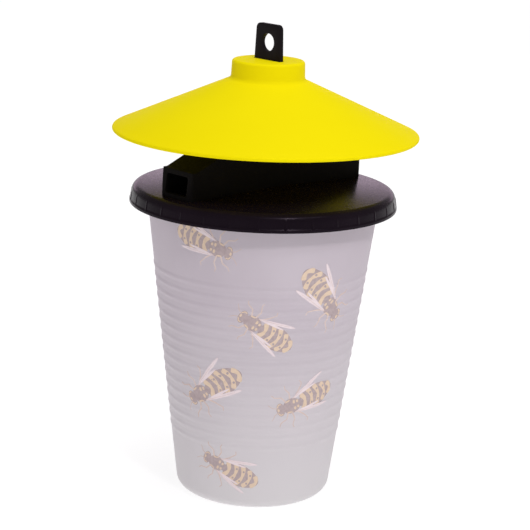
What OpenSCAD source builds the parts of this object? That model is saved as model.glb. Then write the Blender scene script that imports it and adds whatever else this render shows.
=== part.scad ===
// Hanging wasp trap: a ribbed bait cup, a push-fit lid, an entrance bridge with a funnel below it,
// a rain roof and a hanger strap. Millimetres, +Z up, origin on the table under the cup's centre,
// +X along the entrance tunnel.

/* [Cup] */
// Height of the cup, from the table to the top of its rim
cup_h = 130.5; // [120:0.5:140]
// Outer radius of the cup wall, carried down to the table
cup_foot_r = 32.5; // [30:0.5:36]
// Outer radius of the cup wall at the rim
cup_mouth_r = 49.1; // [47:0.1:50]
// Thickness of the cup wall
cup_wall = 1; // [0.8:0.1:1.4]
// Radius of the rounded corner at the cup's foot
cup_corner_r = 5; // [4:0.5:7]
// Number of hoops moulded into the cup wall
hoop_count = 16; // [0:1:18]
// Distance from one hoop to the next
hoop_pitch = 4.7; // [4:0.1:5]
// Height of the top hoop
hoop_top_z = 99; // [96:0.5:104]
// How far a hoop stands out of the wall
hoop_h = 0.25; // [0.2:0.05:0.8]

/* [Lid] */
// Radius of the lid's top edge
lid_edge_r = 55; // [54:0.5:58]
// Extra radius of the skirt at its bottom
lid_flare = 1.2; // [0.6:0.1:2]
// Height of the skirt, bottom to top edge
lid_h = 7.4; // [6.5:0.1:9]
// Fall of the lid's top towards its edge, degrees
lid_fall = 2; // [1:0.5:3]
// Number of grip ribs round the skirt
grip_count = 32; // [16:1:40]
// How far a grip rib stands out of the skirt
grip_h = 0.5; // [0.3:0.1:0.8]

/* [Entrance bridge] */
// Length of the bridge along the tunnel
bridge_l = 97.6; // [90:0.2:98]
// Width of the bridge
bridge_w = 18.6; // [18:0.2:24]
// Height of the bridge at its two ends
bridge_end_h = 11.8; // [10:0.2:14]
// Thickness of the bridge walls
bridge_wall = 1.6; // [1.2:0.2:1.8]
// Width of each wasp entrance
entrance_w = 13; // [10:0.5:14]
// Height of each wasp entrance
entrance_h = 8; // [6:0.5:8]

/* [Funnel] */
// Length of the funnel's mouth along the tunnel
funnel_mouth_l = 44; // [36:1:50]
// Length of the funnel's throat along the tunnel
funnel_throat_l = 12; // [10:1:16]
// Depth of the funnel below the cup's rim
funnel_depth = 16; // [14:1:24]

/* [Roof] */
// Radius of the roof
roof_r = 64; // [60:1:72]
// Height of the roof's lower edge above the lid's edge
roof_gap = 22.5; // [20:0.1:26]
// Slope of the roof, degrees
roof_slope = 23.9; // [22:0.1:26]
// Thickness of the roof, measured upright
roof_wall = 2.2; // [1.8:0.1:3]
// Radius of the boss on top of the roof
boss_r = 15.4; // [15:0.1:17]
// Height of the boss's top above the lid's edge
boss_rise = 53.2; // [52:0.2:56]

/* [Hanger strap] */
// Width of the strap where it leaves the roof
strap_w = 15.3; // [14:0.1:15.4]
// Width of the strap at its top
strap_top_w = 13.9; // [12:0.1:14]
// Thickness of the strap
strap_t = 2; // [1.6:0.1:2.4]
// Height of the strap above the roof's boss
strap_rise = 14.8; // [13:0.1:20]
// Radius of the hanging hole
hook_hole_r = 3.7; // [3:0.1:4]
// Height of the hanging hole's centre above the boss
hook_hole_rise = 7.2; // [6:0.1:8]

/* [Hidden] */
$fn = 96;

// Clearances: between pieces on different bodies, and where one piece seats on or in another
gap = 0.3;
fit = 0.1;
// Longest cut through any piece, and a sliver that carries a cut past a face
reach = 200;
over = 1;

// Cup
cup_slope = (cup_mouth_r - cup_foot_r) / cup_h;
cup_draft = atan(cup_slope);
hoop_w = hoop_pitch * 0.6;
rim_r = cup_mouth_r + 3.6;
rim_t = 1.6;
foot_ring_r = 22;
foot_recess = 2;

// Lid. The top falls from its centre to its edge, and the edge is the reference height.
plate_t = 2;
lid_seat_z = cup_h + fit;
lid_z = lid_seat_z + plate_t;
skirt_z = lid_z - lid_h;
lid_foot_r = lid_edge_r + lid_flare;
lid_fillet_r = 3;
skirt_wall = 1.8;
skirt_draft = atan(lid_flare / lid_h);
band_h = 1.5;
band_t = 0.35;
snap_r = rim_r + gap;
snap_h = 1;
plug_r = cup_mouth_r - cup_wall - 5 * cup_slope - gap;
plug_wall = 1.5;
plug_depth = 4.5;
collar_wall = 1.5;
collar_z = cup_h - 3;
function lid_top_z(r) = lid_z + (lid_edge_r - r) * tan(lid_fall);

// Grip ribs
grip_r = 0.9;
grip_foot_gap = 0.5;
grip_z = skirt_z + grip_foot_gap;
grip_l = lid_h - grip_foot_gap - lid_fillet_r;

// Funnel: a hopper as wide as the tunnel, whose two ends slope down to the throat
funnel_wall = 1.2;
funnel_l = funnel_mouth_l + 2 * funnel_wall;
funnel_w = bridge_w - 2 * bridge_wall - 4 * fit;
funnel_top_z = lid_top_z(funnel_l / 2);
funnel_flange_z = collar_z - fit;
funnel_flange_t = 1.2;
funnel_flange_w = 3;
funnel_tip_z = cup_h - funnel_depth;
throat_h = 3;

// Bridge
bridge_end_z = lid_z + bridge_end_h;
bridge_lean = 1.3;
bridge_ledge = 2;
bridge_slope = 22.8;
bridge_flat_x = 15.5;
bridge_slope_x = bridge_l / 2 - bridge_lean - bridge_ledge;
bridge_top_z = bridge_end_z + (bridge_slope_x - bridge_flat_x) * tan(bridge_slope);
bridge_corner_r = 2;
entrance_z = lid_z + 1.8;
peg_r = 1.5;
peg_x = 32;
peg_z = lid_top_z(peg_x) - plate_t - gap;
peg_head_r = 1.9;
peg_head_t = 1.2;

// Roof
roof_z = lid_z + roof_gap;
boss_z = lid_z + boss_rise;
boss_plate = 2.4;
boss_fillet_r = 1.2;
boss_draft = 0.3;
boss_foot_r = 2;
roof_edge_r = 0.9;
roof_edge_x = roof_r - roof_edge_r;
roof_edge_z = roof_z + roof_edge_r;
function roof_top_z(r) =
    roof_edge_z + roof_edge_r / cos(roof_slope) + (roof_edge_x - r) * tan(roof_slope);
socket_z = roof_top_z(boss_r) - 8;

// Neck: a round post with four flats, which the roof's socket slides over
neck_r = 12.5;
neck_x = 10.4;
neck_y = bridge_w / 2 - 0.3;
neck_z = boss_z - boss_plate;
neck_wall = 1.2;
neck_plate = 3;

// Strap
strap_z = boss_z + strap_rise;
strap_corner_r = 2.2;
strap_foot_z = neck_z - neck_plate;
strap_foot_t = 2.2;
strap_foot_l = 10;
hook_hole_z = boss_z + hook_hole_rise;

// Points of an arc about (x, z), from angle a to angle b
function arc(x, z, r, a, b, steps = 6) =
    [for (i = [0:steps]) let (t = a + (b - a) * i / steps) [x + r * cos(t), z + r * sin(t)]];

// Sweeps an outline drawn in X and Z along Y, by w in all
module along_y(w) {
    rotate([90, 0, 0]) linear_extrude(height = w, center = true) children();
}

// Sweeps an outline drawn in Y and Z along X, by l in all
module along_x(l) {
    rotate([90, 0, 90]) linear_extrude(height = l, center = true) children();
}

// A flat rectangle with round corners
module round_rect(l, w, r) {
    for (x = [-1, 1], y = [-1, 1]) translate([x * (l / 2 - r), y * (w / 2 - r)]) circle(r);
    square([l - 2 * r, w], center = true);
    square([l, w - 2 * r], center = true);
}

// Centred block that reaches from z0 up to z1
module block(l, w, z0, z1) {
    translate([-l / 2, -w / 2, z0]) cube([l, w, z1 - z0]);
}

// ---- Cup -----------------------------------------------------------------------------------

// Height of hoop i, and where its outline is sampled
function hoop_z(i) = hoop_top_z - i * hoop_pitch;
function cup_r(z) = cup_foot_r + z * cup_slope;
hoop_points = [
    for (i = [hoop_count - 1:-1:0], k = [-2:2])
        [cup_r(hoop_z(i) + k * hoop_w / 4) + hoop_h * (1 - k * k / 4), hoop_z(i) + k * hoop_w / 4]
];

// The cup's outer outline from its foot to the underside of its rim, moved inwards by t
function cup_side(t) = concat(
    arc(cup_r(cup_corner_r) - cup_corner_r / cos(cup_draft), cup_corner_r,
        cup_corner_r - t, -90, -cup_draft),
    [for (p = hoop_points) [p[0] - t, p[1]]]
);
function reversed(list) = [for (i = [len(list) - 1:-1:0]) list[i]];

module cup() {
    color("lavender", 0.6)
        rotate_extrude()
            polygon(concat(
                [[0, foot_recess], [foot_ring_r, foot_recess], [foot_ring_r + foot_recess, 0]],
                cup_side(0),
                [[cup_r(cup_h - rim_t), cup_h - rim_t]],
                arc(rim_r - rim_t / 2, cup_h - rim_t / 2, rim_t / 2, -90, 90),
                [[cup_r(cup_h) - cup_wall, cup_h]],
                reversed(cup_side(cup_wall)),
                [[foot_ring_r + foot_recess - cup_wall / 2, cup_wall]],
                [[foot_ring_r - cup_wall / 2, foot_recess + cup_wall]],
                [[0, foot_recess + cup_wall]]
            ));
}

// ---- Lid -----------------------------------------------------------------------------------

module lid_shell() {
    rotate_extrude()
        polygon(concat(
            [[0, lid_top_z(0)]],
            [[lid_edge_r - lid_fillet_r, lid_top_z(lid_edge_r - lid_fillet_r)]],
            arc(lid_edge_r - lid_fillet_r, lid_top_z(lid_edge_r - lid_fillet_r) - lid_fillet_r,
                lid_fillet_r, 80, skirt_draft),
            [[lid_foot_r - band_t, skirt_z + band_h]],
            [[lid_foot_r, skirt_z + band_h - band_t]],
            [[lid_foot_r, skirt_z]],
            [[lid_foot_r - skirt_wall, skirt_z]],
            [[snap_r, skirt_z + snap_h], [snap_r, skirt_z + 2 * snap_h]],
            [[lid_edge_r - skirt_wall, skirt_z + 3 * snap_h], [lid_edge_r - skirt_wall, lid_seat_z]],
            [[plug_r, lid_seat_z], [plug_r, cup_h - plug_depth]],
            [[plug_r - plug_wall, cup_h - plug_depth], [plug_r - plug_wall, lid_seat_z]],
            [[0, lid_top_z(0) - plate_t]]
        ));
}

module grip_ribs() {
    for (i = [0:grip_count - 1])
        rotate([0, 0, i * 360 / grip_count])
            translate([lid_foot_r - band_t + grip_h - grip_r, 0, grip_z])
                rotate([0, -skirt_draft, 0]) {
                    cylinder(h = grip_l, r = grip_r, $fn = 24);
                    translate([0, 0, grip_l]) cylinder(h = grip_r, r1 = grip_r, r2 = grip_r / 3, $fn = 24);
                }
}

// The four places where the bridge's pegs go through the lid
module at_pegs() {
    for (x = [-peg_x, peg_x], y = [-1, 1])
        translate([x, y * (bridge_w - bridge_wall) / 2, 0]) children();
}

module lid() {
    color("#2b2430")
        difference() {
            union() {
                lid_shell();
                grip_ribs();
                block(funnel_l + 2 * collar_wall, funnel_w + 2 * collar_wall, collar_z, lid_z);
            }
            block(funnel_l + 2 * fit, funnel_w + 2 * fit, collar_z - over, lid_z + reach);
            at_pegs() translate([0, 0, collar_z]) cylinder(h = reach, r = peg_r + fit);
        }
}

// ---- Funnel --------------------------------------------------------------------------------

// Side view of the funnel, moved inwards by t: an upright plug, sloped ends and a throat
module funnel_side(t) {
    mouth = funnel_l / 2 - t;
    throat = funnel_throat_l / 2 + funnel_wall - t;
    polygon([
        [-mouth, funnel_top_z],
        [-mouth, collar_z],
        [-throat, funnel_tip_z + throat_h],
        [-throat, funnel_tip_z],
        [throat, funnel_tip_z],
        [throat, funnel_tip_z + throat_h],
        [mouth, collar_z],
        [mouth, funnel_top_z]
    ]);
}

module entry_funnel() {
    color("dimgray")
        difference() {
            union() {
                along_y(funnel_w) funnel_side(0);
                block(funnel_l + 2 * funnel_flange_w, funnel_w + 2 * funnel_flange_w,
                    funnel_flange_z - funnel_flange_t, funnel_flange_z);
            }
            along_y(funnel_w - 2 * funnel_wall) funnel_side(funnel_wall);
        }
}

// ---- Entrance bridge -----------------------------------------------------------------------

// Side view of the bridge, moved inwards by t: leaning ends, a short ledge over each entrance,
// slopes that follow the roof, and a flat middle
module bridge_side(t) {
    half = bridge_l / 2 - t;
    polygon([
        [-half, 0],
        [-half, lid_z],
        [-half + bridge_lean, bridge_end_z - t],
        [-bridge_slope_x + t, bridge_end_z - t],
        [-bridge_flat_x, bridge_top_z - t],
        [bridge_flat_x, bridge_top_z - t],
        [bridge_slope_x - t, bridge_end_z - t],
        [half - bridge_lean, bridge_end_z - t],
        [half, lid_z],
        [half, 0]
    ]);
}

// Everything below the lid's top surface
module below_lid_top() {
    rotate_extrude()
        polygon([[0, 0], [reach, 0], [reach, lid_top_z(reach)], [0, lid_top_z(0)]]);
}

// Post with four flats, grown by t all round, from z0 up to z1
module neck_post(t, z0, z1) {
    intersection() {
        translate([0, 0, z0]) cylinder(h = z1 - z0, r = neck_r + t);
        block(2 * (neck_x + t), 2 * (neck_y + t), z0, z1);
    }
}

module bridge_body() {
    difference() {
        union() {
            intersection() {
                linear_extrude(height = reach) round_rect(bridge_l, bridge_w, bridge_corner_r);
                along_y(bridge_w) bridge_side(0);
            }
            neck_post(0, bridge_end_z, neck_z);
        }
        below_lid_top();
        along_y(bridge_w - 2 * bridge_wall) bridge_side(bridge_wall);
        neck_post(-neck_wall, bridge_end_z, neck_z - neck_plate);
    }
}

// Snap peg that holds the bridge down on the lid
module snap_peg() {
    translate([0, 0, peg_z]) cylinder(h = lid_z - peg_z + bridge_wall, r = peg_r);
    translate([0, 0, peg_z - peg_head_t]) cylinder(h = peg_head_t, r1 = peg_r - 0.5, r2 = peg_head_r);
}

module entrance_bridge() {
    color("#0b080c")
        difference() {
            union() {
                bridge_body();
                at_pegs() snap_peg();
            }
            block(reach, entrance_w, entrance_z, entrance_z + entrance_h);
            block(strap_t + 2 * fit, strap_w + 2 * fit, neck_z - neck_plate - over, neck_z + over);
        }
}

// ---- Hanger strap --------------------------------------------------------------------------

module strap_outline() {
    half = strap_w / 2;
    top = strap_top_w / 2;
    r = strap_corner_r;
    polygon(concat(
        [[-half, strap_foot_z - strap_foot_t], [half, strap_foot_z - strap_foot_t], [half, boss_z]],
        arc(top - r, strap_z - r, r, 0, 90),
        arc(r - top, strap_z - r, r, 90, 180),
        [[-half, boss_z]]
    ));
}

module hanger_strap() {
    color("#1c171d")
        difference() {
            union() {
                along_x(strap_t) strap_outline();
                block(strap_foot_l, strap_w - 2, strap_foot_z - strap_foot_t, strap_foot_z);
            }
            translate([-reach / 2, 0, hook_hole_z]) rotate([0, 90, 0]) cylinder(h = reach, r = hook_hole_r);
        }
}

// ---- Roof ----------------------------------------------------------------------------------

// The slope runs tangent to the rounded rim, and a fillet blends it into the boss
module roof_shell() {
    top_r = boss_r - boss_draft;
    foot_x = boss_r + boss_foot_r;
    rotate_extrude()
        polygon(concat(
            [[0, boss_z]],
            arc(top_r - boss_fillet_r, boss_z - boss_fillet_r, boss_fillet_r, 90, 0),
            arc(foot_x, roof_top_z(foot_x) + boss_foot_r / cos(roof_slope), boss_foot_r,
                180, 270 - roof_slope),
            arc(roof_edge_x, roof_edge_z, roof_edge_r, 90 - roof_slope, -90),
            [[boss_r, roof_top_z(boss_r) - roof_wall]],
            [[boss_r, socket_z]],
            [[0, socket_z]]
        ));
}

module roof() {
    color("#f0e30a")
        difference() {
            roof_shell();
            neck_post(gap, socket_z - over, neck_z + fit);
            block(strap_t + 3 * gap, strap_w + 2 * gap, neck_z - over, boss_z + over);
        }
}

cup();
lid();
entry_funnel();
entrance_bridge();
hanger_strap();
roof();
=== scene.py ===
import math

import bmesh
import bpy
import numpy as np
from mathutils import Matrix, Vector


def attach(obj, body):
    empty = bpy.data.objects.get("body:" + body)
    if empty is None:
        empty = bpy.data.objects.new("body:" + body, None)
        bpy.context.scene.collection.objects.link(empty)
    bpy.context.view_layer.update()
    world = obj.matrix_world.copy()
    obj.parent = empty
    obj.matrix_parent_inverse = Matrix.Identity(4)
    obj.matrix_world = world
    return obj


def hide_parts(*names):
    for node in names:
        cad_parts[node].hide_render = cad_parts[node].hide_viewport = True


# Wasp trap: detailed pieces in place of the CAD solids, prints on the cup, floor, light and camera.

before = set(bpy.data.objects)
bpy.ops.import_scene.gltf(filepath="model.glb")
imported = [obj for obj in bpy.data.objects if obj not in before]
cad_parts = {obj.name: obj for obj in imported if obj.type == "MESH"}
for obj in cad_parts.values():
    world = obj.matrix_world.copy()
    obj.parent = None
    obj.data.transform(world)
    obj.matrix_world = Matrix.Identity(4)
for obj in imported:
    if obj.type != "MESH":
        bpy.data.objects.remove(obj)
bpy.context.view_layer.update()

MM = 0.001
SHARP_ANGLE = math.radians(35)

# ---- Sizes in millimetres, in the CAD frame ----------------------------------------------------

# Clearances between bodies and at seats, and a length past any piece
GAP = 0.3
FIT = 0.1
REACH = 200.0

# Cup
CUP_H = 130.5
CUP_FOOT_R = 32.5
CUP_MOUTH_R = 49.1
CUP_WALL = 1.0
CUP_CORNER_R = 5.0
CUP_SLOPE = (CUP_MOUTH_R - CUP_FOOT_R) / CUP_H
RIM_R = CUP_MOUTH_R + 3.6
RIM_T = 1.6
FOOT_RING_R = 22.0
FOOT_RECESS = 2.0
HOOP_COUNT = 16
HOOP_PITCH = 4.7
HOOP_TOP_Z = 99.0
HOOP_H = 0.25
HOOP_W = 0.6 * HOOP_PITCH

# Lid
PLATE_T = 2.0
LID_SEAT_Z = CUP_H + FIT
LID_Z = LID_SEAT_Z + PLATE_T
LID_H = 7.4
SKIRT_Z = LID_Z - LID_H
LID_EDGE_R = 55.0
LID_FLARE = 1.2
LID_FOOT_R = LID_EDGE_R + LID_FLARE
LID_FILLET_R = 3.0
LID_FALL = math.tan(math.radians(2))
SKIRT_WALL = 1.8
BAND_H = 1.5
BAND_T = 0.35
PLUG_R = CUP_MOUTH_R - CUP_WALL - 5 * CUP_SLOPE - GAP
PLUG_WALL = 1.5
PLUG_DEPTH = 4.5
COLLAR_WALL = 1.5
COLLAR_Z = CUP_H - 3.0
GRIP_COUNT = 32
GRIP_H = 0.5
GRIP_R = 0.9

# Bridge
BRIDGE_L = 97.6
BRIDGE_W = 18.6
BRIDGE_END_H = 11.8
BRIDGE_END_Z = LID_Z + BRIDGE_END_H
BRIDGE_WALL = 1.6
BRIDGE_LEAN = 1.3
BRIDGE_LEDGE = 2.0
BRIDGE_FLAT_X = 15.5
BRIDGE_SLOPE_X = BRIDGE_L / 2 - BRIDGE_LEAN - BRIDGE_LEDGE
BRIDGE_SLOPE = math.radians(22.8)
BRIDGE_TOP_Z = BRIDGE_END_Z + (BRIDGE_SLOPE_X - BRIDGE_FLAT_X) * math.tan(BRIDGE_SLOPE)
BRIDGE_CORNER_R = 2.0
ENTRANCE_W = 13.0
ENTRANCE_H = 8.0
ENTRANCE_Z = LID_Z + 1.8
PEG_R = 1.5
PEG_X = 32.0
PEG_HEAD_R = 1.9
PEG_HEAD_T = 1.2

# Roof. Its radius is a hair less than 64 mm, because the CAD rim is a polygon.
ROOF_SLOPE = math.radians(23.9)
ROOF_R = 63.97
ROOF_GAP = 22.5
ROOF_Z = LID_Z + ROOF_GAP
ROOF_WALL = 2.2
ROOF_EDGE_R = 0.9
BOSS_R = 15.4
BOSS_RISE = 53.2
BOSS_Z = LID_Z + BOSS_RISE
BOSS_PLATE = 2.4
BOSS_DRAFT = 0.3
BOSS_FILLET_R = 1.2
BOSS_FOOT_R = 2.0

# Neck
NECK_R = 12.5
NECK_X = 10.4
NECK_Y = BRIDGE_W / 2 - GAP
NECK_Z = BOSS_Z - BOSS_PLATE
NECK_WALL = 1.2
NECK_PLATE = 3.0

# Strap
STRAP_W = 15.3
STRAP_TOP_W = 13.9
STRAP_T = 2.0
STRAP_RISE = 14.8
STRAP_Z = BOSS_Z + STRAP_RISE
STRAP_CORNER_R = 2.2
STRAP_FOOT_Z = NECK_Z - NECK_PLATE
STRAP_FOOT_T = 2.2
STRAP_FOOT_L = 10.0
HOOK_HOLE_R = 3.7
HOOK_HOLE_RISE = 7.2
HOOK_HOLE_Z = BOSS_Z + HOOK_HOLE_RISE

# Funnel
FUNNEL_WALL = 1.2
FUNNEL_MOUTH_L = 44.0
FUNNEL_L = FUNNEL_MOUTH_L + 2 * FUNNEL_WALL
FUNNEL_W = BRIDGE_W - 2 * BRIDGE_WALL - 4 * FIT
FUNNEL_DEPTH = 16.0
FUNNEL_TIP_Z = CUP_H - FUNNEL_DEPTH
THROAT_L = 12.0
THROAT_H = 3.0
FLANGE_Z = COLLAR_Z - FIT
FLANGE_T = 1.2
FLANGE_W = 3.0


def cup_r(z):
    """Radius of the cup's plain outer wall."""
    return CUP_FOOT_R + z * CUP_SLOPE


def hoop(z):
    """How far the hoops stand out of the cup's wall at height z."""
    step = (HOOP_TOP_Z - z) / HOOP_PITCH
    nearest = min(max(round(step), 0), HOOP_COUNT - 1)
    off = abs(step - nearest) * HOOP_PITCH
    return HOOP_H * math.cos(math.pi * off / HOOP_W) ** 2 if off < HOOP_W / 2 else 0.0


def lid_top_z(r):
    """Height of the lid's top at a radius."""
    return LID_Z + (LID_EDGE_R - r) * LID_FALL


def roof_top_z(r):
    """Height of the roof's slope, which is tangent to its rounded rim."""
    edge_x = ROOF_R - ROOF_EDGE_R
    edge_z = ROOF_Z + ROOF_EDGE_R
    return edge_z + ROOF_EDGE_R / math.cos(ROOF_SLOPE) + (edge_x - r) * math.tan(ROOF_SLOPE)


# ---- Mesh helpers ------------------------------------------------------------------------------


def rounded(corners, step=math.radians(12)):
    """Closed outline from corners (x, y, radius), each corner rounded by an arc of its radius."""
    points = []
    for i, (x, y, radius) in enumerate(corners):
        here = Vector((x, y))
        if radius <= 0:
            points.append((x, y))
            continue
        before = (Vector(corners[i - 1][:2]) - here).normalized()
        after = (Vector(corners[(i + 1) % len(corners)][:2]) - here).normalized()
        half = before.angle(after) / 2
        centre = here + (before + after).normalized() * (radius / math.sin(half))
        start = here + before * (radius / math.tan(half)) - centre
        turn = start.angle_signed(here + after * (radius / math.tan(half)) - centre)
        steps = max(2, math.ceil(abs(turn) / step))
        for k in range(steps + 1):
            spin = -turn * k / steps
            points.append((
                centre.x + start.x * math.cos(spin) - start.y * math.sin(spin),
                centre.y + start.x * math.sin(spin) + start.y * math.cos(spin),
            ))
    return points


def new_object(name, verts, faces):
    """Mesh object from points in millimetres, smooth apart from edges over the sharp angle."""
    mesh = bpy.data.meshes.new(name)
    mesh.from_pydata([Vector(v) * MM for v in verts], [], faces)
    obj = bpy.data.objects.new(name, mesh)
    bpy.context.scene.collection.objects.link(obj)
    tidy_mesh(mesh)
    return obj


def tidy_mesh(mesh):
    """Merges doubles, turns the faces outwards and sets the smooth shading."""
    work = bmesh.new()
    work.from_mesh(mesh)
    bmesh.ops.remove_doubles(work, verts=work.verts, dist=1e-7)
    bmesh.ops.dissolve_degenerate(work, edges=work.edges, dist=1e-7)
    bmesh.ops.recalc_face_normals(work, faces=work.faces)
    work.to_mesh(mesh)
    work.free()
    mesh.shade_smooth()
    mesh.set_sharp_from_angle(angle=SHARP_ANGLE)


def lathe(name, profile, angles, swell=None):
    """Closed solid turned from an outline of (radius, height). swell(r, z, angle) adds to a radius."""
    verts, rings = [], []
    for r, z in profile:
        if r < 1e-6:
            rings.append([len(verts)] * len(angles))
            verts.append((0.0, 0.0, z))
            continue
        rings.append(list(range(len(verts), len(verts) + len(angles))))
        for angle in angles:
            out = r + (swell(r, z, angle) if swell else 0.0)
            verts.append((out * math.cos(angle), out * math.sin(angle), z))
    faces = []
    for low, high in zip(rings, rings[1:] + rings[:1]):
        for k in range(len(angles)):
            face = [low[k], low[k - 1], high[k - 1], high[k]]
            unique = [v for i, v in enumerate(face) if v not in face[:i]]
            if len(unique) > 2:
                faces.append(unique)
    return new_object(name, verts, faces)


def even_angles(count):
    """Angles of a full turn, evenly spaced."""
    return [2 * math.pi * k / count for k in range(count)]


def prism(name, outline, low, high, axis="z"):
    """Solid between two planes across an axis. The outline is (y, z), (x, z) or (x, y)."""
    n = len(outline)
    verts = []
    for level in (low, high):
        for point in outline:
            corner = list(point)
            corner.insert("xyz".index(axis), level)
            verts.append(corner)
    faces = [list(range(n)), list(range(2 * n - 1, n - 1, -1))]
    faces += [[k, (k + 1) % n, (k + 1) % n + n, k + n] for k in range(n)]
    return new_object(name, verts, faces)


def rectangle(length, width, radius=0.0, middle=(0.0, 0.0)):
    """Centred rectangle with round corners."""
    a, b = length / 2, width / 2
    x, y = middle
    return rounded([
        (x - a, y - b, radius), (x + a, y - b, radius), (x + a, y + b, radius), (x - a, y + b, radius),
    ])


def circle(radius, count=48, middle=(0.0, 0.0)):
    """Corners of a regular polygon that stands for a circle."""
    return [
        (middle[0] + radius * math.cos(t), middle[1] + radius * math.sin(t)) for t in even_angles(count)
    ]


def combine(obj, operation, *tools):
    """Applies exact booleans to obj with each tool, and removes the tools."""
    for tool in tools:
        step = obj.modifiers.new("step", "BOOLEAN")
        step.operation = operation
        step.solver = "EXACT"
        step.object = tool
        settle(obj)
        bpy.data.objects.remove(tool)
    return obj


def settle(obj):
    """Makes obj's modifiers part of its mesh."""
    graph = bpy.context.evaluated_depsgraph_get()
    mesh = bpy.data.meshes.new_from_object(obj.evaluated_get(graph))
    obj.modifiers.clear()
    obj.data = mesh
    tidy_mesh(mesh)


def bevel(obj, width, segments=3, angle=40):
    """Rounds the edges that are sharper than an angle."""
    step = obj.modifiers.new("bevel", "BEVEL")
    step.width = width * MM
    step.segments = segments
    step.limit_method = "ANGLE"
    step.angle_limit = math.radians(angle)
    settle(obj)
    return obj


# ---- Materials ---------------------------------------------------------------------------------


def add_node(tree, kind, links=(), **values):
    """Node with its properties set, and its inputs linked or given a value."""
    node = tree.nodes.new(kind)
    inputs = dict(links)
    for key, value in values.items():
        setattr(node, key, value)
    for key, value in inputs.items():
        if isinstance(value, bpy.types.NodeSocket):
            tree.links.new(value, node.inputs[key])
        else:
            node.inputs[key].default_value = value
    return node


def rescale(tree, value, low, high):
    """Takes a noise value, which stays near 0.5, to a range."""
    return add_node(
        tree, "ShaderNodeMapRange",
        {"Value": value, "From Min": 0.3, "From Max": 0.7, "To Min": low, "To Max": high},
    ).outputs["Result"]


def plastic(name, tone, drift, rough, patch=45.0, grain=1500.0, depth=0.01, **sockets):
    """Moulded plastic. Its colour drifts slowly between two close tones, and a fine grain varies
    its gloss and roughens its surface. depth is the grain's in millimetres."""
    material = bpy.data.materials.new(name)
    material.use_nodes = True
    tree = material.node_tree
    shader = tree.nodes["Principled BSDF"]
    place = add_node(tree, "ShaderNodeTexCoord").outputs["Object"]
    slow = add_node(tree, "ShaderNodeTexNoise", {"Vector": place, "Scale": patch, "Detail": 3.0})
    fine = add_node(tree, "ShaderNodeTexNoise", {"Vector": place, "Scale": grain, "Detail": 2.0})
    share = rescale(tree, slow.outputs["Fac"], 0.0, 1.0)
    colour = add_node(tree, "ShaderNodeMix", data_type="RGBA")
    tree.links.new(share, colour.inputs[0])
    colour.inputs[6].default_value = (*tone, 1)
    colour.inputs[7].default_value = (*drift, 1)
    tree.links.new(colour.outputs[2], shader.inputs["Base Color"])
    tree.links.new(rescale(tree, fine.outputs["Fac"], *rough), shader.inputs["Roughness"])
    bump = add_node(
        tree, "ShaderNodeBump",
        {"Height": fine.outputs["Fac"], "Strength": 1.0, "Distance": depth * MM},
    )
    tree.links.new(bump.outputs["Normal"], shader.inputs["Normal"])
    for socket, value in sockets.items():
        shader.inputs[socket.replace("_", " ")].default_value = value
    return material


def cup_material():
    """Frosted, slightly milky plastic, with painted light and shade: it turns lighter and less mauve towards
    its foot and darker towards the lid.
    """
    material = plastic(
        "frosted_plastic", (0.70, 0.63, 0.69), (0.65, 0.58, 0.64), (0.5, 0.62),
        patch=28.0, grain=1400.0, depth=0.006,
        Transmission_Weight=0.2, IOR=1.49, Specular_IOR_Level=0.35,
    )
    tree = material.node_tree
    shader = tree.nodes["Principled BSDF"]
    upper = shader.inputs["Base Color"].links[0].from_socket
    place = add_node(tree, "ShaderNodeTexCoord").outputs["Object"]
    height = add_node(tree, "ShaderNodeSeparateXYZ", {"Vector": place}).outputs["Z"]
    # Painted light and shade: the colour is mixed by height, from a lighter grey at the foot to the darker
    # mauve tone higher up.
    share = add_node(
        tree, "ShaderNodeMapRange", {"Value": height, "From Min": 0.0, "From Max": 0.7 * CUP_H * MM},
    ).outputs["Result"]
    colour = add_node(tree, "ShaderNodeMix", data_type="RGBA")
    tree.links.new(share, colour.inputs[0])
    # Painted light: the lighter, less mauve tone near the foot.
    colour.inputs[6].default_value = (0.83, 0.80, 0.815, 1)
    tree.links.new(upper, colour.inputs[7])
    tree.links.new(colour.outputs[2], shader.inputs["Base Color"])
    return material


def lid_material():
    """Glossy black plastic with a purple cast."""
    return plastic(
        "glossy_black_plastic", (0.0075, 0.0048, 0.0078), (0.011, 0.0072, 0.0112), (0.2, 0.28),
        patch=35.0, grain=900.0, depth=0.0003, IOR=1.14, Specular_Tint=(1.0, 0.8, 1.0, 1.0),
    )


def bridge_material():
    """Black plastic with a spark-eroded texture."""
    return plastic(
        "matt_black_plastic", (0.0046, 0.0038, 0.0041), (0.0066, 0.0056, 0.006), (0.6, 0.8),
        grain=1300.0, depth=0.05, Specular_IOR_Level=0.04,
    )


def strap_material():
    """Satin black plastic."""
    return plastic(
        "satin_black_plastic", (0.0065, 0.0047, 0.0062), (0.0095, 0.007, 0.009), (0.38, 0.5),
        grain=1000.0, depth=0.008, Specular_IOR_Level=0.06,
    )


def funnel_material():
    """Satin black plastic, a little greyer than the lid."""
    return plastic(
        "funnel_black_plastic", (0.014, 0.012, 0.015), (0.02, 0.017, 0.021), (0.45, 0.6),
        grain=1100.0, depth=0.012,
    )


def roof_material():
    """Satin yellow plastic."""
    return plastic(
        "satin_yellow_plastic", (0.865, 0.742, 0.0028), (0.845, 0.718, 0.0022), (0.5, 0.62),
        patch=22.0, grain=1000.0, depth=0.006, Specular_IOR_Level=0.01,
    )


def ink(name, tone, drift):
    """Faded print ink, with the speckle of the print."""
    return plastic(
        name, tone, drift, (0.5, 0.7), patch=900.0, grain=2500.0, depth=0.004, Specular_IOR_Level=0.2,
    )


# ---- Pieces ------------------------------------------------------------------------------------


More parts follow.
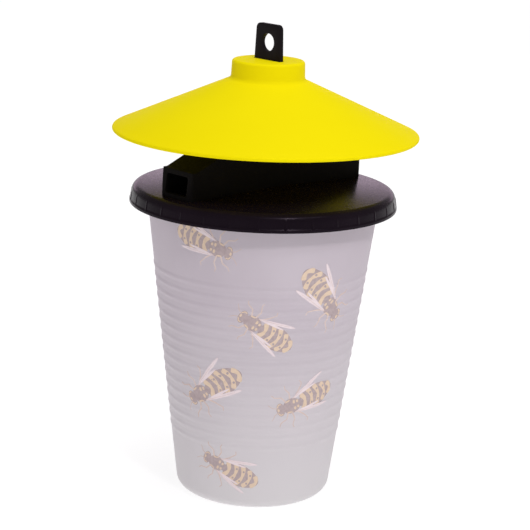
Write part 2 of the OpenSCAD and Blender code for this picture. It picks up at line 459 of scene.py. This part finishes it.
def make_cup():
    """Thin ribbed wall, rolled rim, and a foot with a raised middle."""
    steps = 240
    outer = [(CUP_H - RIM_T - 0.6) * k / steps for k in range(steps + 1)]
    outer = [z for z in outer if z > CUP_CORNER_R]
    side = [(cup_r(z) + hoop(z), z) for z in outer]
    inner = [(r - CUP_WALL, z) for r, z in reversed(side)]
    corner = CUP_CORNER_R
    foot_x = cup_r(corner) - corner / math.cos(math.atan(CUP_SLOPE))

    def foot_arc(radius):
        spins = [math.radians(-90 + 83 * k / 10) for k in range(11)]
        return [(foot_x + radius * math.cos(t), corner + radius * math.sin(t)) for t in spins]

    rim_x, rim_z = RIM_R - RIM_T / 2, CUP_H - RIM_T / 2
    rim = [
        (rim_x + RIM_T / 2 * math.cos(t), rim_z + RIM_T / 2 * math.sin(t))
        for t in (math.radians(-90 + 15 * k) for k in range(13))
    ]
    profile = rounded([
        (0, FOOT_RECESS, 0), (FOOT_RING_R, FOOT_RECESS, 1.0), (FOOT_RING_R + FOOT_RECESS, 0, 0.8),
        (FOOT_RING_R + 2 * FOOT_RECESS, 0, 0),
    ])
    profile += foot_arc(corner) + side
    profile += [(cup_r(CUP_H - RIM_T) + 0.25, CUP_H - RIM_T - 0.15), (cup_r(CUP_H) + 0.7, CUP_H - RIM_T)]
    profile += rim
    profile += [(cup_r(CUP_H) - CUP_WALL + 0.5, CUP_H), (cup_r(CUP_H) - CUP_WALL + 0.1, CUP_H - 0.4)]
    profile += inner + list(reversed(foot_arc(corner - CUP_WALL)))
    profile += [
        (FOOT_RING_R + 2 * FOOT_RECESS - CUP_WALL / 2, CUP_WALL),
        (FOOT_RING_R + FOOT_RECESS - CUP_WALL / 2, CUP_WALL),
        (FOOT_RING_R - CUP_WALL / 2, FOOT_RECESS + CUP_WALL), (0, FOOT_RECESS + CUP_WALL),
    ]
    return lathe("cup", profile, even_angles(192))


def grip_angles():
    """Angles round the lid, close together across each grip rib."""
    pitch = 360 / GRIP_COUNT
    across = [-1.1, -0.86, -0.76, -0.6, -0.4, -0.2, 0.0, 0.2, 0.4, 0.6, 0.76, 0.86, 1.1]
    between = [1.1 + (pitch - 2.2) * k / 6 for k in range(1, 6)]
    return [math.radians(i * pitch + a) for i in range(GRIP_COUNT) for a in across + between]


def grip_swell(r, z, angle):
    """Half-round grip ribs on the outside of the skirt, whose tops slope back into it."""
    skirt_r = LID_FOOT_R - (z - SKIRT_Z) * LID_FLARE / LID_H
    top_z = LID_Z - LID_FILLET_R + GRIP_R
    if r < skirt_r - BAND_T - 0.4 or z > top_z or z < SKIRT_Z:
        return 0.0
    pitch = 2 * math.pi / GRIP_COUNT
    off = abs((angle + pitch / 2) % pitch - pitch / 2) * r
    end = max(0.0, min(1.0, (z - SKIRT_Z - 0.3) / 0.4, (top_z - z) / GRIP_R))
    half = GRIP_R * 0.9
    if off >= half:
        return 0.0
    crest = LID_FOOT_R - BAND_T + GRIP_H - (z - SKIRT_Z) * LID_FLARE / LID_H
    height = math.sqrt(GRIP_R ** 2 - off ** 2) - math.sqrt(GRIP_R ** 2 - half ** 2)
    height *= GRIP_H / (GRIP_R - math.sqrt(GRIP_R ** 2 - half ** 2))
    return max(0.0, (crest - GRIP_H + height - r)) * end


def make_lid():
    """Shallow dome, flared skirt with grip ribs and a bottom band, plug ring and funnel collar."""
    top_r = LID_EDGE_R
    side = LID_FOOT_R - BAND_T

    def wall(z):
        return side - (z - SKIRT_Z - BAND_H) * (side - top_r) / (LID_H - BAND_H)

    skirt = [(wall(z), z) for z in np.linspace(SKIRT_Z + BAND_H + 0.3, LID_Z - LID_FILLET_R, 16)]
    band = [(LID_FOOT_R, z) for z in np.linspace(SKIRT_Z + 0.3, SKIRT_Z + BAND_H - 0.4, 6)]
    fillet = rounded([
        (0, lid_top_z(0), 0), (top_r - 0.06, lid_top_z(top_r - 0.06), LID_FILLET_R),
        (wall(SKIRT_Z + BAND_H), SKIRT_Z + BAND_H, 0),
    ])[1:-1]
    profile = [(0, lid_top_z(0))] + fillet + [p for p in reversed(skirt) if p[1] < fillet[-1][1] - 0.1]
    profile += [(side + 0.12, SKIRT_Z + BAND_H), (LID_FOOT_R - 0.08, SKIRT_Z + BAND_H - 0.2)]
    profile += list(reversed(band))
    profile += [(LID_FOOT_R - 0.1, SKIRT_Z + 0.08), (LID_FOOT_R - 0.35, SKIRT_Z)]
    profile += [
        (LID_FOOT_R - SKIRT_WALL, SKIRT_Z), (RIM_R + GAP, SKIRT_Z + 1), (RIM_R + GAP, SKIRT_Z + 2),
        (LID_EDGE_R - SKIRT_WALL, SKIRT_Z + 3), (LID_EDGE_R - SKIRT_WALL, LID_SEAT_Z),
        (PLUG_R, LID_SEAT_Z), (PLUG_R, CUP_H - PLUG_DEPTH + 0.4), (PLUG_R - 0.4, CUP_H - PLUG_DEPTH),
        (PLUG_R - PLUG_WALL + 0.4, CUP_H - PLUG_DEPTH), (PLUG_R - PLUG_WALL, CUP_H - PLUG_DEPTH + 0.4),
        (PLUG_R - PLUG_WALL, LID_SEAT_Z), (0, lid_top_z(0) - PLATE_T),
    ]
    lid = lathe("lid", profile, grip_angles(), grip_swell)
    collar = prism(
        "collar", rectangle(FUNNEL_L + 2 * COLLAR_WALL, FUNNEL_W + 2 * COLLAR_WALL, 0.8), COLLAR_Z, LID_Z,
    )
    combine(lid, "UNION", collar)
    opening = prism(
        "opening", rectangle(FUNNEL_L + 2 * FIT, FUNNEL_W + 2 * FIT), COLLAR_Z - 1, LID_Z + REACH,
    )
    pegs = [
        prism("peg_hole", circle(PEG_R + FIT, 32, (x, y)), COLLAR_Z, LID_Z + REACH)
        for x, y in peg_places()
    ]
    return combine(lid, "DIFFERENCE", opening, *pegs)


def peg_places():
    """Middles (x, y) of the four pegs that hold the bridge down on the lid."""
    y = (BRIDGE_W - BRIDGE_WALL) / 2
    return [(a * PEG_X, b * y) for a in (-1, 1) for b in (-1, 1)]


def make_funnel():
    """Hopper as wide as the tunnel, whose two ends slope down to the throat."""

    def side(t):
        mouth = FUNNEL_L / 2 - t
        throat = THROAT_L / 2 + FUNNEL_WALL - t
        top = lid_top_z(FUNNEL_L / 2)
        right = [(throat, FUNNEL_TIP_Z), (throat, FUNNEL_TIP_Z + THROAT_H), (mouth, COLLAR_Z), (mouth, top)]
        return right + [(-x, z) for x, z in reversed(right)]

    half = FUNNEL_W / 2
    funnel = prism("funnel", side(0), -half, half, "y")
    flange = prism(
        "flange", rectangle(FUNNEL_L + 2 * FLANGE_W, FUNNEL_W + 2 * FLANGE_W, 0.8),
        FLANGE_Z - FLANGE_T, FLANGE_Z,
    )
    combine(funnel, "UNION", flange)
    hollow = [(x, z + (1 if z > COLLAR_Z else -1 if z == FUNNEL_TIP_Z else 0)) for x, z in side(FUNNEL_WALL)]
    inside = half - FUNNEL_WALL
    combine(funnel, "DIFFERENCE", prism("hollow", hollow, -inside, inside, "y"))
    return bevel(funnel, 0.2, 2)


def bridge_side(t):
    """Side view of the bridge, moved inwards by t, from below the lid's top upwards."""
    half = BRIDGE_L / 2 - t
    right = [
        (half, LID_Z - 4), (half, LID_Z), (half - BRIDGE_LEAN, BRIDGE_END_Z - t),
        (BRIDGE_SLOPE_X - t, BRIDGE_END_Z - t), (BRIDGE_FLAT_X, BRIDGE_TOP_Z - t),
    ]
    return right + [(-x, z) for x, z in reversed(right)]


def neck_outline(t):
    """Circle with four flats, grown by t."""
    r, a, b = NECK_R + t, NECK_X + t, NECK_Y + t
    points = []
    for x, y in circle(r, 144):
        points.append((max(-a, min(a, x)), max(-b, min(b, y))))
    return [p for i, p in enumerate(points) if math.dist(p, points[i - 1]) > 1e-6]


def make_bridge():
    """Tunnel with an entrance at each end and the neck on its top."""
    half = BRIDGE_W / 2
    bridge = prism("bridge", bridge_side(0), -half, half, "y")
    plan = prism("plan", rectangle(BRIDGE_L, BRIDGE_W, BRIDGE_CORNER_R), LID_Z - 6, NECK_Z)
    combine(bridge, "INTERSECT", plan)
    neck = prism("neck", neck_outline(0), BRIDGE_END_Z, NECK_Z)
    combine(bridge, "UNION", neck)
    inside = half - BRIDGE_WALL
    cavity = prism("cavity", bridge_side(BRIDGE_WALL), -inside, inside, "y")
    bore = prism("bore", neck_outline(-NECK_WALL), BRIDGE_END_Z, NECK_Z - NECK_PLATE)
    window = prism(
        "window",
        rectangle(ENTRANCE_W, ENTRANCE_H, 1.0, (0, ENTRANCE_Z + ENTRANCE_H / 2)), -REACH, REACH, "x",
    )
    combine(bridge, "DIFFERENCE", cavity, bore, window)
    bevel(bridge, 0.3)
    under = lathe(
        "under", [(0, LID_Z - 20), (REACH, LID_Z - 20), (REACH, lid_top_z(REACH)), (0, lid_top_z(0))],
        even_angles(96),
    )
    slot = prism(
        "slot", rectangle(STRAP_T + 2 * FIT, STRAP_W + 2 * FIT), NECK_Z - NECK_PLATE - 1, NECK_Z + 1,
    )
    combine(bridge, "DIFFERENCE", under, slot)
    peg_z = lid_top_z(PEG_X) - PLATE_T - GAP
    for x, y in peg_places():
        spindle = [
            (0, peg_z - PEG_HEAD_T), (PEG_R - 0.5, peg_z - PEG_HEAD_T), (PEG_HEAD_R, peg_z - 0.1),
            (PEG_HEAD_R, peg_z), (PEG_R, peg_z), (PEG_R, LID_Z + BRIDGE_WALL), (0, LID_Z + BRIDGE_WALL),
        ]
        peg = lathe("peg", spindle, even_angles(32))
        peg.data.transform(Matrix.Translation((x * MM, y * MM, 0)))
        combine(bridge, "UNION", peg)
    return bridge


def make_strap():
    """Flat strap with round top corners and the hanging hole, and a foot under the neck's plate."""
    half, top = STRAP_W / 2, STRAP_TOP_W / 2
    low = STRAP_FOOT_Z - STRAP_FOOT_T
    outline = rounded([
        (-half, low, 0), (half, low, 0), (half, BOSS_Z, 0), (top, STRAP_Z, STRAP_CORNER_R),
        (-top, STRAP_Z, STRAP_CORNER_R), (-half, BOSS_Z, 0),
    ])
    strap = prism("strap", outline, -STRAP_T / 2, STRAP_T / 2, "x")
    hole = prism("hole", circle(HOOK_HOLE_R, 64, (0, HOOK_HOLE_Z)), -REACH, REACH, "x")
    combine(strap, "DIFFERENCE", hole)
    foot = prism("foot", rectangle(STRAP_FOOT_L, STRAP_W - 2, 0.4), low, STRAP_FOOT_Z)
    combine(strap, "UNION", foot)
    return bevel(strap, 0.22)


def make_roof():
    """Cone with a rounded rim and a filleted boss, whose socket slides over the bridge's neck."""
    top_r = BOSS_R - BOSS_DRAFT
    under_z = roof_top_z(BOSS_R) - ROOF_WALL
    socket_z = roof_top_z(BOSS_R) - 8
    foot_r = BOSS_R + 3
    corners = [
        (0, BOSS_Z, 0), (top_r, BOSS_Z, BOSS_FILLET_R), (BOSS_R, roof_top_z(BOSS_R), BOSS_FOOT_R),
        (foot_r + 20, roof_top_z(foot_r + 20), 0),
    ]
    edge_x, edge_z = ROOF_R - ROOF_EDGE_R, ROOF_Z + ROOF_EDGE_R
    high, low = math.pi / 2 - ROOF_SLOPE, -math.pi / 2
    edge = [
        (edge_x + ROOF_EDGE_R * math.cos(t), edge_z + ROOF_EDGE_R * math.sin(t))
        for t in (high + (low - high) * k / 14 for k in range(15))
    ]
    profile = rounded(corners, math.radians(8)) + edge
    profile += rounded([
        (edge_x, ROOF_Z, 0), (BOSS_R, under_z, 1.0), (BOSS_R, socket_z, 0.5), (0, socket_z, 0),
    ])[1:]
    roof = lathe("roof", profile, even_angles(256))
    socket = prism("socket", neck_outline(GAP), socket_z - 1, NECK_Z + FIT)
    slot = prism("slot", rectangle(STRAP_T + 3 * GAP, STRAP_W + 2 * GAP, 0.3), NECK_Z - 1, BOSS_Z + 1)
    return combine(roof, "DIFFERENCE", socket, slot)


# ---- Wasp prints -------------------------------------------------------------------------------

# Each print is drawn flat in millimetres. u runs from the head to the tail, v to the wasp's left.
# The middle of each body: azimuth in degrees, height, heading in degrees, length, wing spreads.
WASPS = [
    (-163.0, 117.0, 165.0, 27.0, 10.0, 16.0),
    (-98.0, 96.0, 130.0, 30.0, 14.0, 16.0),
    (-129.0, 81.0, -34.0, 26.5, 18.0, 12.0),
    (-160.0, 54.5, 34.0, 29.5, 21.0, 11.0),
    (-100.5, 50.0, 18.0, 27.5, 22.0, 11.0),
    (-149.0, 17.5, -23.0, 26.0, 18.0, 14.0),
]
HEAD_U = -10.3
TAIL_U = 13.9
PRINT_LIFT = 0.05
LAYER = 0.03
SINK = 0.03
DARK, YELLOW, WING, LEG = range(4)


class Film:
    """Thin closed print film, laid on the cup's wall strip by strip."""

    def __init__(self, azimuth, height, heading, length):
        self.azimuth, self.height = math.radians(azimuth), height
        self.heading = math.radians(heading)
        self.scale = length / (TAIL_U - HEAD_U)
        self.verts, self.faces, self.inks = [], [], []

    def on_cup(self, u, v, lift):
        """Place on the cup's wall of a point of the flat drawing."""
        u = (u - (HEAD_U + TAIL_U) / 2) * self.scale
        v = v * self.scale
        c, s = math.cos(self.heading), math.sin(self.heading)
        z = self.height + u * s + v * c
        angle = self.azimuth + (u * c - v * s) / cup_r(self.height)
        r = cup_r(z) + hoop(z) + lift
        return r * math.cos(angle), r * math.sin(angle), z

    def strip(self, centre, halves, colour, layer=0, across=4):
        """Strip along a centre line of (u, v) points, as wide on each side as halves says."""
        start = len(self.verts)
        n, m = len(centre), across + 1
        for lift in (PRINT_LIFT + layer * LAYER, -SINK):
            for i, (u, v) in enumerate(centre):
                before, after = centre[max(i - 1, 0)], centre[min(i + 1, n - 1)]
                along = Vector((after[0] - before[0], after[1] - before[1])).normalized()
                for k in range(m):
                    side = (2 * k / across - 1) * halves[i]
                    self.verts.append(self.on_cup(u - along.y * side, v + along.x * side, lift))

        def at(sheet, i, k):
            return start + sheet * n * m + i * m + k

        quads = []
        for i in range(n - 1):
            for k in range(m - 1):
                quads.append([at(0, i, k), at(0, i + 1, k), at(0, i + 1, k + 1), at(0, i, k + 1)])
                quads.append([at(1, i, k), at(1, i, k + 1), at(1, i + 1, k + 1), at(1, i + 1, k)])
            for k in (0, m - 1):
                quads.append([at(0, i, k), at(1, i, k), at(1, i + 1, k), at(0, i + 1, k)])
        for i in (0, n - 1):
            for k in range(m - 1):
                quads.append([at(0, i, k), at(0, i, k + 1), at(1, i, k + 1), at(1, i, k)])
        self.faces += quads
        self.inks += [colour] * len(quads)

    def oval(self, middle, length, width, colour, layer=0, turn=0.0, point=0.0):
        """Egg shape. A positive point makes its far end narrower than its near end."""
        steps = max(8, round(length / 0.45))
        ts = [-math.cos(math.pi * (0.02 + 0.96 * k / steps)) for k in range(steps + 1)]
        c, s = math.cos(math.radians(turn)), math.sin(math.radians(turn))
        centre = [(middle[0] + c * t * length / 2, middle[1] + s * t * length / 2) for t in ts]
        halves = [width / 2 * math.sqrt(1 - t * t) * (1 - point * t) for t in ts]
        self.strip(centre, halves, colour, layer, max(4, 2 * round(width / 1.2)))

    def line(self, points, width, colour, layer=0, taper=0.5):
        """Thin line through points, thinner at its end."""
        path = []
        for (u0, v0), (u1, v1) in zip(points, points[1:]):
            steps = max(2, round(math.dist((u0, v0), (u1, v1)) / 0.5))
            path += [(u0 + (u1 - u0) * k / steps, v0 + (v1 - v0) * k / steps) for k in range(steps)]
        path.append(points[-1])
        last = len(path) - 1
        halves = [width / 2 * (1 - taper * i / last) for i in range(len(path))]
        self.strip(path, halves, colour, layer, 2)


ABDOMEN = (6.4, 0.0)
ABDOMEN_L = 15.0
ABDOMEN_W = 9.2
ABDOMEN_POINT = 0.16
BANDS = 5


def draw_abdomen(film):
    """Dark egg with yellow bands, pinched at the middle, and a dark dot on each side of a band."""
    film.oval(ABDOMEN, ABDOMEN_L, ABDOMEN_W, DARK, 0, 0, ABDOMEN_POINT)
    for band in range(BANDS):
        t = -0.78 + 1.56 * band / (BANDS - 1)
        half = ABDOMEN_W / 2 * math.sqrt(1 - t * t) * (1 - ABDOMEN_POINT * t) * 0.95
        sides = [k / 9 for k in range(-9, 10)]
        u = ABDOMEN[0] + t * ABDOMEN_L / 2
        centre = [(u + 0.7 - 1.5 * s * s, s * half) for s in sides]
        widths = [(0.5 + 0.45 * abs(s) ** 0.7) * (1.0 if abs(s) < 0.95 else 0.6) for s in sides]
        film.strip(centre, widths, YELLOW, 1, 4)
        if 0 < band < BANDS - 1:
            for side in (-1, 1):
                film.oval((u + 0.45, side * half * 0.5), 0.85, 0.85, DARK, 2)


def draw_thorax_and_head(film):
    """Dark thorax and head with small yellow marks."""
    film.oval((-1.0, 0), 2.4, 3.0, DARK)
    film.oval((-4.3, 0), 6.8, 6.2, DARK)
    film.oval((-8.7, 0), 3.2, 5.4, DARK)
    for side in (-1, 1):
        film.oval((-1.9, side * 1.1), 0.9, 1.2, YELLOW, 1)
        film.oval((-3.2, side * 1.3), 0.9, 1.5, YELLOW, 1)
        film.oval((-5.5, side * 2.3), 2.0, 0.6, YELLOW, 1, 12 * side)
        film.line([(-8.1, side * 2.1), (-9.1, side * 2.2), (-9.8, side * 1.2)], 0.5, YELLOW, 1, 0.2)
    film.oval((-9.5, 0), 0.8, 1.3, YELLOW, 1)


def draw_wings(film, left, right):
    """A slim pale wing with a darker vein on each side, swept back and spread by the given angles."""
    for side, spread in ((1, left), (-1, right)):
        root = (-3.6, side * 2.8)
        for length, width, turn in ((14.5, 1.25, 0.0), (10.5, 0.8, -9.0)):
            angle = math.radians(spread + turn)
            middle = (
                root[0] + math.cos(angle) * length / 2, root[1] + side * math.sin(angle) * length / 2,
            )
            film.oval(middle, length, width, WING, 3, side * (spread + turn), -0.3)
        angle = math.radians(spread)
        tip = (root[0] + 12.0 * math.cos(angle), root[1] + side * 12.0 * math.sin(angle))
        film.line([root, tip], 0.18, LEG, 4)


def draw_legs(film):
    """Three bent legs and an antenna on each side."""
    legs = [
        [(-6.2, 2.2), (-7.4, 4.6), (-9.8, 5.4), (-10.6, 6.6)],
        [(-4.6, 2.6), (-4.2, 5.4), (-5.4, 7.6), (-5.2, 8.8)],
        [(-2.8, 2.6), (-0.4, 5.2), (1.2, 7.6), (0.6, 8.8)],
    ]
    for side in (-1, 1):
        for leg in legs:
            film.line([(u, side * v) for u, v in leg], 0.6, LEG)
        film.line([(-9.8, side * 0.8), (-11.4, side * 1.6), (-12.8, side * 3.3)], 0.36, LEG)


def make_wasp(number, azimuth, height, heading, length, left, right, inks):
    """One wasp print, made of closed films that follow the cup's wall."""
    film = Film(azimuth, height, heading, length)
    draw_legs(film)
    draw_abdomen(film)
    draw_thorax_and_head(film)
    draw_wings(film, left, right)
    mesh = bpy.data.meshes.new(f"wasp_print_{number}")
    mesh.from_pydata([Vector(v) * MM for v in film.verts], [], film.faces)
    wasp = bpy.data.objects.new(f"wasp_print_{number}", mesh)
    bpy.context.scene.collection.objects.link(wasp)
    for material in inks:
        mesh.materials.append(material)
    mesh.polygons.foreach_set("material_index", film.inks)
    work = bmesh.new()
    work.from_mesh(mesh)
    bmesh.ops.recalc_face_normals(work, faces=work.faces)
    work.to_mesh(mesh)
    work.free()
    mesh.shade_smooth()
    mesh.set_sharp_from_angle(angle=SHARP_ANGLE)
    return wasp


# ---- Assembly ----------------------------------------------------------------------------------

PIECES = [
    (make_cup, cup_material, "cup", "cup", "cup_plastic"),
    (make_lid, lid_material, "lid", "lid", "lid_plastic"),
    (make_funnel, funnel_material, "funnel", "entry_funnel", "funnel_plastic"),
    (make_bridge, bridge_material, "lid", "entrance_bridge", "bridge_plastic"),
    (make_strap, strap_material, "lid", "hanger_strap", "strap_plastic"),
    (make_roof, roof_material, "roof", "roof", "roof_plastic"),
]

for make, finish, body, node, slot in PIECES:
    piece = make()
    piece.name = f"{node}_detailed"
    piece.data.materials.clear()
    piece.data.materials.append(finish())
    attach(piece, body)
    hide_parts(node)

INKS = [
    ink("ink_dark", (0.43, 0.345, 0.355), (0.52, 0.43, 0.435)),
    ink("ink_yellow", (0.80, 0.63, 0.48), (0.74, 0.58, 0.44)),
    ink("ink_wing", (0.86, 0.75, 0.77), (0.82, 0.71, 0.74)),
    ink("ink_leg", (0.76, 0.62, 0.57), (0.70, 0.575, 0.54)),
]
for number, wasp in enumerate(WASPS, 1):
    piece = make_wasp(number, *wasp, INKS)
    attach(piece, "cup")


# ---- Floor, light and camera -------------------------------------------------------------------


# Half the floor's width in millimetres
FLOOR_HALF = 40000.0


def make_floor():
    """Plain white paper, lit from below like a light table, and wide enough to hide its edge."""
    corners = [(x * FLOOR_HALF, y * FLOOR_HALF, 0) for x, y in ((-1, -1), (1, -1), (1, 1), (-1, 1))]
    floor = new_object("floor", corners, [[0, 1, 2, 3]])
    floor.data.materials.append(plastic(
        "floor_paper", (0.30, 0.30, 0.30), (0.29, 0.29, 0.29), (0.9, 0.95), Specular_IOR_Level=0.0,
        Emission_Color=(1.0, 1.0, 1.0, 1.0), Emission_Strength=0.8,
    ))


def make_world(colour, level):
    """The same soft light from all sides."""
    world = bpy.data.worlds.new("studio")
    world.use_nodes = True
    background = world.node_tree.nodes["Background"]
    background.inputs["Color"].default_value = (*colour, 1)
    background.inputs["Strength"].default_value = level
    bpy.context.scene.world = world


def towards(azimuth, elevation):
    """Direction from the trap to a camera or light. Azimuth 0 is on the -Y side."""
    a, e = math.radians(azimuth), math.radians(elevation)
    return Vector((math.sin(a) * math.cos(e), -math.cos(a) * math.cos(e), math.sin(e)))


def soft_light(name, azimuth, elevation, distance, width, height, radiance, colour=(1, 1, 1)):
    """Soft box that faces the middle of the trap."""
    back = towards(azimuth, elevation)
    data = bpy.data.lights.new(name, "AREA")
    data.shape = "RECTANGLE"
    data.size = width
    data.size_y = height
    data.energy = radiance * math.pi * width * height
    data.color = colour
    light = bpy.data.objects.new(name, data)
    light.location = back * distance + Vector((0, 0, 0.1))
    light.rotation_mode = "QUATERNION"
    light.rotation_quaternion = (-back).to_track_quat("-Z", "Y")
    bpy.context.scene.collection.objects.link(light)


def make_overhead_light(strength, spread):
    """Wide, even light from straight above."""
    data = bpy.data.lights.new("overhead", "SUN")
    data.energy = strength
    data.angle = math.radians(spread)
    light = bpy.data.objects.new("overhead", data)
    bpy.context.scene.collection.objects.link(light)


# Azimuth and elevation in degrees, roll in radians, distances in metres, lens in millimetres
CAMERA_AZIMUTH = -43.5
CAMERA_ELEVATION = 14.315
CAMERA_ROLL = math.radians(2.318)
CAMERA_DISTANCE = 0.7711
CAMERA_ASIDE = 0.0019
CAMERA_TARGET_Z = 0.09826
CAMERA_LENS = 123.3


def make_camera():
    """Long lens, rolled a little, so that the trap leans to the right in the picture."""
    back = towards(CAMERA_AZIMUTH, CAMERA_ELEVATION)
    right = Vector((math.cos(math.radians(CAMERA_AZIMUTH)), math.sin(math.radians(CAMERA_AZIMUTH)), 0))
    up = back.cross(right)
    x_axis = right * math.cos(CAMERA_ROLL) + up * math.sin(CAMERA_ROLL)
    y_axis = up * math.cos(CAMERA_ROLL) - right * math.sin(CAMERA_ROLL)
    matrix = Matrix((x_axis, y_axis, back)).transposed().to_4x4()
    matrix.translation = right * CAMERA_ASIDE + Vector((0, 0, CAMERA_TARGET_Z)) + back * CAMERA_DISTANCE
    data = bpy.data.cameras.new("camera")
    data.lens = CAMERA_LENS
    data.clip_end = 100
    camera = bpy.data.objects.new("camera", data)
    camera.matrix_world = matrix
    bpy.context.scene.collection.objects.link(camera)
    bpy.context.scene.camera = camera


make_floor()
make_world((1.0, 0.93, 0.99), 0.35)
make_overhead_light(strength=1.25, spread=30)
soft_light("key_box", -12, 48, distance=1.0, width=0.8, height=0.12, radiance=4.5)
soft_light("spark_box", -18, 40, distance=1.0, width=0.1, height=0.1, radiance=70.0)
soft_light(
    "back_box", 136.5, 9.5, distance=1.2, width=1.5, height=0.2, radiance=1.5, colour=(1.0, 0.74, 0.97),
)
make_camera()
bpy.context.scene.view_settings.view_transform = "Standard"
